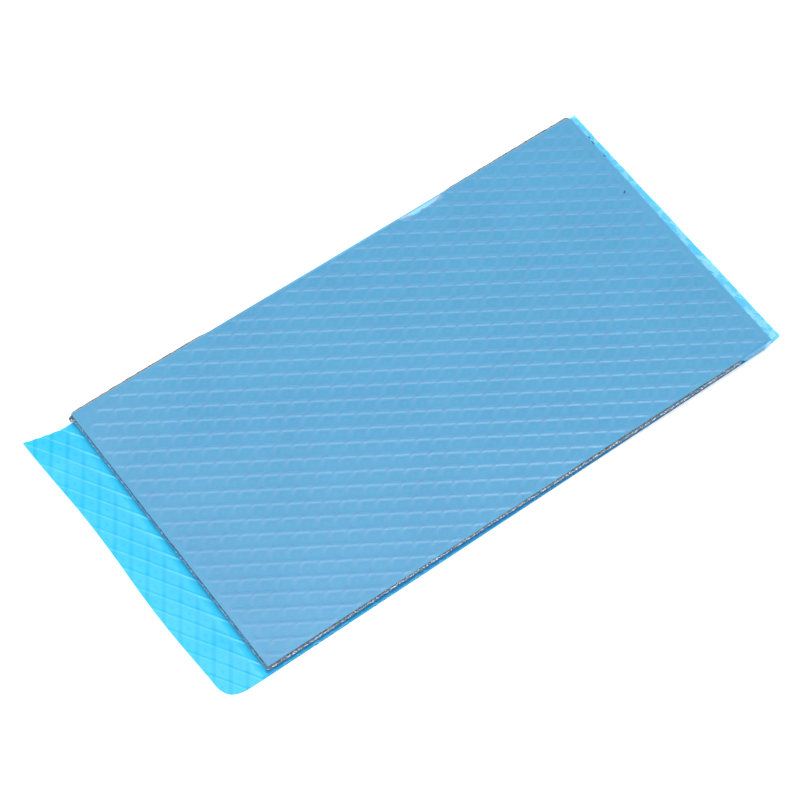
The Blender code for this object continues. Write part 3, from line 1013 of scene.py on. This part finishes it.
@dataclass
class UpperFilm:
    """The film on the pad, with a hem that hangs down over the front right corner."""

    name: str = "upper_film"
    node: str = "top_release_film"
    slot: str = "upper_film"
    pad_width: float = 45.0 * MM
    thickness: float = 0.1 * MM
    hem_length: float = 5.6 * MM
    hem_lead_in: float = 1.6 * MM
    hem_setback: float = 0.4 * MM
    hem_clearance: float = 0.35 * MM
    bend_radius: float = 0.3 * MM
    corner_radius: float = 1.0 * MM
    corner_steps: int = 8
    zone_margin: float = 0.3 * MM
    zone_step: float = 0.12 * MM
    wave: float = 0.02 * MM
    lattice: Lattice = Lattice(
        LineFamily(math.radians(57.933), 2.1721 * MM, 0.60),
        LineFamily(math.radians(-54.467), 2.1818 * MM, 0.787),
    )
    emboss: Emboss = Emboss()
    finish: FilmFinish = FilmFinish(
        name="upper_film",
        cell=(0.110, 0.400, 0.665),
        dash=(0.155, 0.435, 0.71),
        band=(0.132, 0.403, 0.66),
        knot=(0.152, 0.365, 0.61),
        crest=(0.14, 0.375, 0.62),
        stain_and_fill_colour=(0.06, 0.235, 0.39),
        sheen_strip=(0.10, 0.40, 0.66),
        rim=(0.16, 0.20, 0.22),
        # The dark cut edge is partly painted shade: it also stands in for the shade line under the film's
        # edge.
        edge=(0.04, 0.12, 0.20),
        tint=(0.3, 0.86, 0.99),
        scatter=0.5,
        rim_start=22.2 * MM,
        rim_end=22.4 * MM,
        hem_top=2.12 * MM,
        worn_start=21.4 * MM,
    )
    pressed_left: float = 0.7 * MM
    pressed_right: float = 1.0 * MM
    pressed_long_side: float = 0.35 * MM
    pressed_corner: float = 3.4 * MM
    press_unevenness: float = 0.25 * MM
    press_lump: float = 2.0 * MM
    press_fade: float = 0.5 * MM
    stained_right: float = 1.0 * MM
    stained_rear: float = 0.3 * MM
    stained_corner: float = 14.0 * MM

    def bend_line(self) -> float:
        """Y of the squeezed-back face of the pad, which the hem is bent around."""
        return -self.pad_width / 2.0 + self.hem_setback

    def hem_start(self) -> float:
        """X where the hem begins to bend down."""
        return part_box(self.node)[1].x - self.hem_length

    def hem_edge(self) -> float:
        """Y of the hem's edge on the film laid out flat."""
        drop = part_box("thermal_pad")[1].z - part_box("bottom_release_film")[1].z - self.hem_clearance
        return self.bend_line() - 0.5 * math.pi * self.bend_radius - drop

    def outline(self) -> np.ndarray:
        """Outline of the film laid out flat, counter-clockwise, as rows of X and Y."""
        low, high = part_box(self.node)
        front = -self.pad_width / 2.0
        points = [(low.x, front), (self.hem_start(), front)]
        points += [(self.hem_start() + self.hem_lead_in, self.hem_edge()), (high.x, self.hem_edge())]
        for i in range(self.corner_steps + 1):
            turn = 0.5 * math.pi * i / self.corner_steps
            across = high.x - self.corner_radius * (1.0 - math.cos(turn))
            points.append((across, high.y - self.corner_radius * (1.0 - math.sin(turn))))
        points.append((low.x, high.y))
        return np.array(points)

    def place(self, points: np.ndarray, heights: np.ndarray) -> np.ndarray:
        """Place the film's points, with the hem bent down around the pad's edge.

        Args:
            points: Flat points as rows of X and Y.
            heights: Height of each point above the film's back.

        Returns:
            Places as rows of X, Y and Z.
        """
        x, y = points[:, 0], points[:, 1]
        pad_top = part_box("thermal_pad")[1].z
        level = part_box(self.node)[1].z - self.thickness
        beyond = self.bend_line() - y
        lead = np.clip((x - self.hem_start()) / self.hem_lead_in, 0.0, 1.0)
        formed = np.where(beyond > 0.0, 1.0 - (1.0 - lead) ** 2, 0.0)
        quarter = 0.5 * math.pi * self.bend_radius
        angle = np.clip(beyond, 0.0, quarter) / self.bend_radius
        bent_y = self.bend_line() - self.bend_radius * np.sin(angle)
        bent_z = pad_top + self.bend_radius * np.cos(angle) - np.maximum(0.0, beyond - quarter)
        lean = formed * angle
        turn = 2.0 * math.pi * x / (23.0 * MM)
        slack = self.wave * (np.sin(turn + 90.0 * y) * np.sin(170.0 * y - 0.4 * turn) - 1.0) * (1.0 - formed)
        along_y = y + formed * (bent_y - y) - heights * np.sin(lean)
        up = level + formed * (bent_z - level) + heights * np.cos(lean) + slack
        return np.column_stack([x, along_y, up])

    def relief(self, points: np.ndarray) -> np.ndarray:
        """Share of the emboss that is left, which the cutter flattened along the edges.

        Args:
            points: Flat points as rows of X and Y.

        Returns:
            One share for each point.
        """
        low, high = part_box(self.node)
        x, y = points[:, 0], points[:, 1]
        lumps = [noise.noise(Vector((a, b, 0.0)) / self.press_lump) for a, b in points]
        uneven = self.press_unevenness * np.array(lumps)
        corner = np.hypot(x - low.x, y - high.y) - self.pressed_corner
        gaps = [x - low.x - self.pressed_left, high.x - x - self.pressed_right, corner]
        gaps += [high.y - y - self.pressed_long_side, y + self.pad_width / 2.0 - self.pressed_long_side]
        return smooth_step((np.min(gaps, axis=0) + uneven) / self.press_fade + 0.5)

    def stain_and_fill(self, points: np.ndarray) -> np.ndarray:
        """Share of full staining: strong along the right end and rear edge, faint at the left rear corner."""
        low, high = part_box(self.node)
        right = smooth_step(1.3 - (high.x - points[:, 0]) / self.stained_right)
        rear = 0.9 * smooth_step(1.3 - (high.y - points[:, 1]) / self.stained_rear)
        away = np.hypot(points[:, 0] - low.x, points[:, 1] - high.y)
        corner = 0.4 * smooth_step(1.2 - away / self.stained_corner)
        return np.maximum(np.maximum(right, rear), corner)

    def build(self) -> bpy.types.Object:
        """Build the film and dress it.

        Returns:
            The piece.
        """
        outline = self.outline()
        low = (self.hem_start() - self.zone_margin, self.hem_edge() - self.zone_margin)
        high = (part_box(self.node)[1].x + self.zone_margin, self.bend_line() + self.zone_margin)
        zone = Zone(low, high, self.zone_step)
        ways = (self.place, self.relief, self.stain_and_fill)
        form = (outline, self.lattice, self.emboss, self.thickness)
        piece = EmbossedSheet(self.name, *form, *ways, (zone,)).build()
        for material in self.finish.materials(self.emboss):
            piece.data.materials.append(material)
        declare(piece, self.node)
        return piece


@dataclass
class Pad:
    """The grey pad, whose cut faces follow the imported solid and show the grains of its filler."""

    name: str = "pad_body"
    node: str = "thermal_pad"
    slot: str = "filled_silicone"
    length: float = 85.0 * MM
    width: float = 45.0 * MM
    core_inset: float = 0.9 * MM
    step: float = 0.13 * MM
    rows: int = 12
    probe: float = 1.5 * MM
    edge_wear: float = 0.05 * MM
    undercut: float = 0.3 * MM
    rear_bulge: float = 0.16 * MM
    notch_middle: float = -0.5 * MM
    notch_half: float = 19.0 * MM
    bulge_lead_in: float = 3.0 * MM
    grain_relief: float = 0.06 * MM
    grain_size: float = 0.22 * MM
    lump_relief: float = 0.05 * MM
    lump_size: float = 0.9 * MM
    cap_step: float = 3.0 * MM
    cap_margin: float = 0.5 * MM
    ray_inset: float = 0.02 * MM
    finish: SiliconeFinish = field(default_factory=SiliconeFinish)

    def ring(self) -> tuple[np.ndarray, np.ndarray]:
        """Points around the pad, and the outward direction at each, both as rows of X and Y."""
        half = np.array((self.length, self.width)) / 2.0 - self.core_inset
        corners = [half * (1, 1), half * (-1, 1), half * (-1, -1), half * (1, -1)]
        points: list[np.ndarray] = []
        outward: list[np.ndarray] = []
        turns = round(2.0 * self.core_inset / self.step)
        for index, corner in enumerate(corners):
            for i in range(turns + 1):
                angle = 0.5 * math.pi * (index + i / turns)
                way = np.array((math.cos(angle), math.sin(angle)))
                points.append(corner + self.core_inset * way)
                outward.append(way)
            start = points[-1]
            end = corners[(index + 1) % 4] + self.core_inset * way
            pieces = max(1, round(float(np.linalg.norm(end - start)) / self.step))
            for i in range(1, pieces):
                points.append(start + (end - start) * i / pieces)
                outward.append(way)
        return np.array(points), np.array(outward)

    def wall(self, points: np.ndarray, outward: np.ndarray) -> np.ndarray:
        """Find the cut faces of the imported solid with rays, and add the grains.

        Args:
            points: Points around the pad as rows of X and Y.
            outward: Outward direction at each point.

        Returns:
            Places as an array of rows by points by X, Y and Z.
        """
        low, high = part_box(self.node)
        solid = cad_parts[self.node]
        tree = BVHTree.FromObject(solid, bpy.context.evaluated_depsgraph_get())
        levels = np.linspace(low.z + self.ray_inset, high.z - self.ray_inset, self.rows)
        places = np.zeros((self.rows, len(points), 3))
        for row, level in enumerate(levels):
            for column, (point, way) in enumerate(zip(points, outward)):
                start = Vector((*(point + way * self.probe), level))
                hit = tree.ray_cast(start, Vector((-way[0], -way[1], 0.0)))[0]
                spot = hit if hit is not None else Vector((*point, level))
                relief = self.relief(spot)
                if row in (0, self.rows - 1):
                    relief -= self.edge_wear * (1.0 + noise.noise(spot / MM))
                relief += self.slant(spot, way, (high.z - level) / (high.z - low.z))
                places[row, column] = spot + Vector((*way, 0.0)) * relief
        places[0, :, 2], places[-1, :, 2] = low.z, high.z
        return places

    def slant(self, spot: Vector, way: np.ndarray, depth: float) -> float:
        """How far the cut face leans out or in at a place.

        Args:
            spot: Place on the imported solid's cut face.
            way: Outward direction there.
            depth: Share of the way down from the pad's upper face.

        Returns:
            The distance, outwards where it is positive.
        """
        undercut = np.clip((depth - 0.4) / 0.6, 0.0, 1.0) ** 2
        bulge = 0.0
        if way[1] > 0.9:
            from_notch = abs(spot.x - self.notch_middle) - self.notch_half
            bulge = self.rear_bulge * float(smooth_step(np.array(from_notch / self.bulge_lead_in)))
        return bulge - self.undercut * float(undercut)

    def relief(self, spot: Vector) -> float:
        """How far the grains stand out of the cut face at a place."""
        nearest = noise.voronoi(spot / self.grain_size)[0][0]
        lump = noise.noise(spot / self.lump_size)
        return self.grain_relief * (0.45 - min(nearest, 1.0)) + self.lump_relief * lump

    def build(self) -> bpy.types.Object:
        """Build the pad and dress it.

        Returns:
            The piece.
        """
        points, outward = self.ring()
        wall = self.wall(points, outward)
        count = len(points)
        spots = [wall.reshape(-1, 3)]
        faces: list[tuple[int, ...]] = []
        for row in range(self.rows - 1):
            here, above = row * count, (row + 1) * count
            for i in range(count):
                onward = (i + 1) % count
                faces.append((here + i, here + onward, above + onward, above + i))
        first = self.rows * count
        for row in (0, self.rows - 1):
            rim = wall[row, :, :2]
            low, high = rim.min(axis=0), rim.max(axis=0)
            inner = Zone(tuple(low), tuple(high), self.cap_step).points()
            inner = inner[inside_outline(inner, rim)]
            inner = inner[distance_to_outline(inner, rim) > self.cap_margin]
            flat = np.concatenate([rim, inner])
            triangles = np.array(filled(flat, [(i, (i + 1) % count) for i in range(count)]))
            triangles = triangles[inside_outline(flat[triangles].mean(axis=1), rim)]
            names = np.concatenate([np.arange(count) + row * count, np.arange(len(inner)) + first])
            faces += [tuple(triangle) for triangle in names[triangles].tolist()]
            spots.append(np.column_stack([inner, np.full(len(inner), wall[row, 0, 2])]))
            first += len(inner)
        mesh = closed_mesh(self.name, np.concatenate(spots), faces, [0] * len(faces))
        piece = linked(bpy.data.objects.new(self.name, mesh))
        mesh.materials.append(self.finish.material())
        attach(piece, "root")
        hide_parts(self.node)
        LOG.info("%s: %d triangles", piece.name, triangle_count(piece))
        return piece


@dataclass(frozen=True)
class Crumb:
    """A dark crumb of silicone that lies on the upper film or sticks to the pad's end.

    Attributes:
        number: Its place in the row of crumbs, which also seeds its shape.
        spot: Its middle.
        size: Its three widths.
        turn: Its turn about the upright.
    """

    number: int
    spot: tuple[float, float, float]
    size: tuple[float, float, float]
    turn: float
    unevenness: float = 0.35

    def build(self, material: bpy.types.Material) -> bpy.types.Object:
        """Build the crumb and dress it.

        Args:
            material: Its material.

        Returns:
            The piece.
        """
        shaper = bmesh.new()
        bmesh.ops.create_icosphere(shaper, subdivisions=3, radius=0.5)
        for vertex in shaper.verts:
            seat = Vector((0.0, 0.0, 9.0 * self.number))
            vertex.co *= 1.0 + self.unevenness * noise.noise(2.5 * vertex.co + seat)
        shape = Matrix.Diagonal((*self.size, 1.0))
        shaper.transform(Matrix.Translation(self.spot) @ Matrix.Rotation(self.turn, 4, "Z") @ shape)
        mesh = bpy.data.meshes.new(f"crumb_{self.number}")
        shaper.to_mesh(mesh)
        shaper.free()
        mesh.shade_smooth()
        mesh.materials.append(material)
        piece = linked(bpy.data.objects.new(mesh.name, mesh))
        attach(piece, "root")
        LOG.info("%s: %d triangles", piece.name, triangle_count(piece))
        return piece


@dataclass(frozen=True)
class CrumbFinish:
    """Nearly black silicone, which dust has settled on."""

    name: str = "silicone_crumb"
    dark: Colour = (0.012, 0.018, 0.028)
    dusty: Colour = (0.07, 0.09, 0.11)
    lump: float = 0.08 * MM
    roughness: float = 0.8

    def material(self) -> bpy.types.Material:
        """Make the material."""
        graph = Graph(self.name)
        place = graph.add("ShaderNodeTexCoord").outputs["Object"]
        dust = graph.clouds(place, self.lump, 3.0, 11.0)
        inputs = {
            "Base Color": graph.blend(graph.ease(dust, 0.4, 0.7), self.dark, self.dusty),
            "Roughness": graph.maths("ADD", graph.ease(dust, 0.3, 0.7, -0.1, 0.1), self.roughness),
        }
        return graph.finish(graph.add("ShaderNodeBsdfPrincipled", inputs).outputs[0])


@dataclass(frozen=True)
class Crumbs:
    """The crumbs that the cutter left at the right end."""

    finish: CrumbFinish = CrumbFinish()
    crumbs: tuple[Crumb, ...] = (
        Crumb(1, (42.62 * MM, 17.95 * MM, 2.24 * MM), (0.16 * MM, 0.45 * MM, 0.12 * MM), 0.15),
        Crumb(2, (42.48 * MM, 16.90 * MM, 2.24 * MM), (0.17 * MM, 0.65 * MM, 0.12 * MM), -0.1),
        Crumb(3, (42.46 * MM, 14.25 * MM, 2.24 * MM), (0.16 * MM, 0.50 * MM, 0.10 * MM), 0.1),
        Crumb(4, (40.95 * MM, 7.88 * MM, 2.25 * MM), (0.18 * MM, 0.50 * MM, 0.10 * MM), -0.87),
    )

    def build(self) -> list[bpy.types.Object]:
        """Build all the crumbs with one finish."""
        material = self.finish.material()
        return [crumb.build(material) for crumb in self.crumbs]


def declare(piece: bpy.types.Object, node: str) -> None:
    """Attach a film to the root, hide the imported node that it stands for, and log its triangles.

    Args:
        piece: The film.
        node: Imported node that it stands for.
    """
    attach(piece, "root")
    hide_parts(node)
    LOG.info("%s: %d triangles", piece.name, triangle_count(piece))


@dataclass(frozen=True)
class Viewpoint:
    """Where the photograph was taken from, solved from the four corners of the pad."""

    azimuth: float = math.radians(-133.725)
    elevation: float = math.radians(60.364)
    roll: float = math.radians(7.835)
    distance: float = 407.90 * MM
    slide_right: float = -3.445 * MM
    slide_up: float = -2.156 * MM
    focal_pixels: float = 3008.7
    picture_pixels: float = 800.0
    sensor_width: float = 36.0

    def build(self) -> bpy.types.Object:
        """Make the camera and give it to the scene.

        Returns:
            The camera.
        """
        level = math.cos(self.elevation)
        along_x, along_y = level * math.cos(self.azimuth), level * math.sin(self.azimuth)
        back = Vector((along_x, along_y, math.sin(self.elevation)))
        right = Vector((0.0, 0.0, 1.0)).cross(back).normalized()
        up = back.cross(right)
        rolled_right = math.cos(self.roll) * right + math.sin(self.roll) * up
        rolled_up = math.cos(self.roll) * up - math.sin(self.roll) * right
        lens = bpy.data.cameras.new("camera")
        lens.sensor_width = self.sensor_width
        lens.lens = self.focal_pixels * self.sensor_width / self.picture_pixels
        lens.clip_start = 10.0 * MM
        camera = linked(bpy.data.objects.new("camera", lens))
        turned = Matrix((rolled_right, rolled_up, back)).transposed().to_4x4()
        eye = back * self.distance + rolled_right * self.slide_right + rolled_up * self.slide_up
        camera.matrix_world = Matrix.Translation(eye) @ turned
        bpy.context.scene.camera = camera
        return camera


@dataclass(frozen=True)
class Softbox:
    """A round lamp that faces the sheet."""

    name: str
    direction: tuple[float, float]
    distance: float
    size: float
    radiance: float

    def build(self) -> bpy.types.Object:
        """Hang the lamp in its direction, given as azimuth and elevation.

        Returns:
            The lamp.
        """
        azimuth, elevation = (math.radians(a) for a in self.direction)
        level = math.cos(elevation)
        way = Vector((level * math.cos(azimuth), level * math.sin(azimuth), math.sin(elevation)))
        light = bpy.data.lights.new(self.name, "AREA")
        light.shape = "DISK"
        light.size = self.size
        light.energy = self.radiance * math.pi * math.pi * (self.size / 2.0) ** 2
        lamp = linked(bpy.data.objects.new(self.name, light))
        lamp.location = way * self.distance
        lamp.rotation_mode = "QUATERNION"
        lamp.rotation_quaternion = way.to_track_quat("Z", "Y")
        return lamp


@dataclass(frozen=True)
class Studio:
    """A plain white floor under soft light."""

    floor_size: float = 4.0
    floor_gap: float = 0.02 * MM
    floor_colour: Colour = (0.9, 0.9, 0.9)
    surround: float = 1.09
    lamps: tuple[Softbox, ...] = (
        Softbox("overhead_softbox", (0.0, 90.0), 0.62, 0.58, 3.95),
        Softbox("inner_lamp", (9.0, 72.0), 0.54, 0.06, 20.0),
    )

    def build(self) -> None:
        """Make the floor, the lamps and the even light around them."""
        mesh = bpy.data.meshes.new("floor")
        maker = bmesh.new()
        bmesh.ops.create_grid(maker, x_segments=1, y_segments=1, size=self.floor_size / 2.0)
        maker.to_mesh(mesh)
        maker.free()
        floor = linked(bpy.data.objects.new("floor", mesh))
        floor.location.z = -self.floor_gap
        graph = Graph("floor")
        body = graph.add("ShaderNodeBsdfPrincipled", {"Base Color": self.floor_colour, "Roughness": 0.9})
        body.inputs["Specular IOR Level"].default_value = 0.1
        mesh.materials.append(graph.finish(body.outputs[0]))
        for lamp in self.lamps:
            lamp.build()
        world = bpy.data.worlds.new("surround")
        bpy.context.scene.world = world
        world.use_nodes = True
        world.node_tree.nodes["Background"].inputs["Color"].default_value = (1.0, 1.0, 1.0, 1.0)
        world.node_tree.nodes["Background"].inputs["Strength"].default_value = self.surround
        bpy.context.scene.view_settings.view_transform = "Standard"


def main() -> None:
    """Build the scene."""
    logging.basicConfig(level=logging.INFO, format="%(name)s: %(message)s")
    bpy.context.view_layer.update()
    Viewpoint().build()
    Studio().build()
    LowerFilm().build()
    Pad().build()
    UpperFilm().build()
    Crumbs().build()


if __name__ == "__main__":
    main()
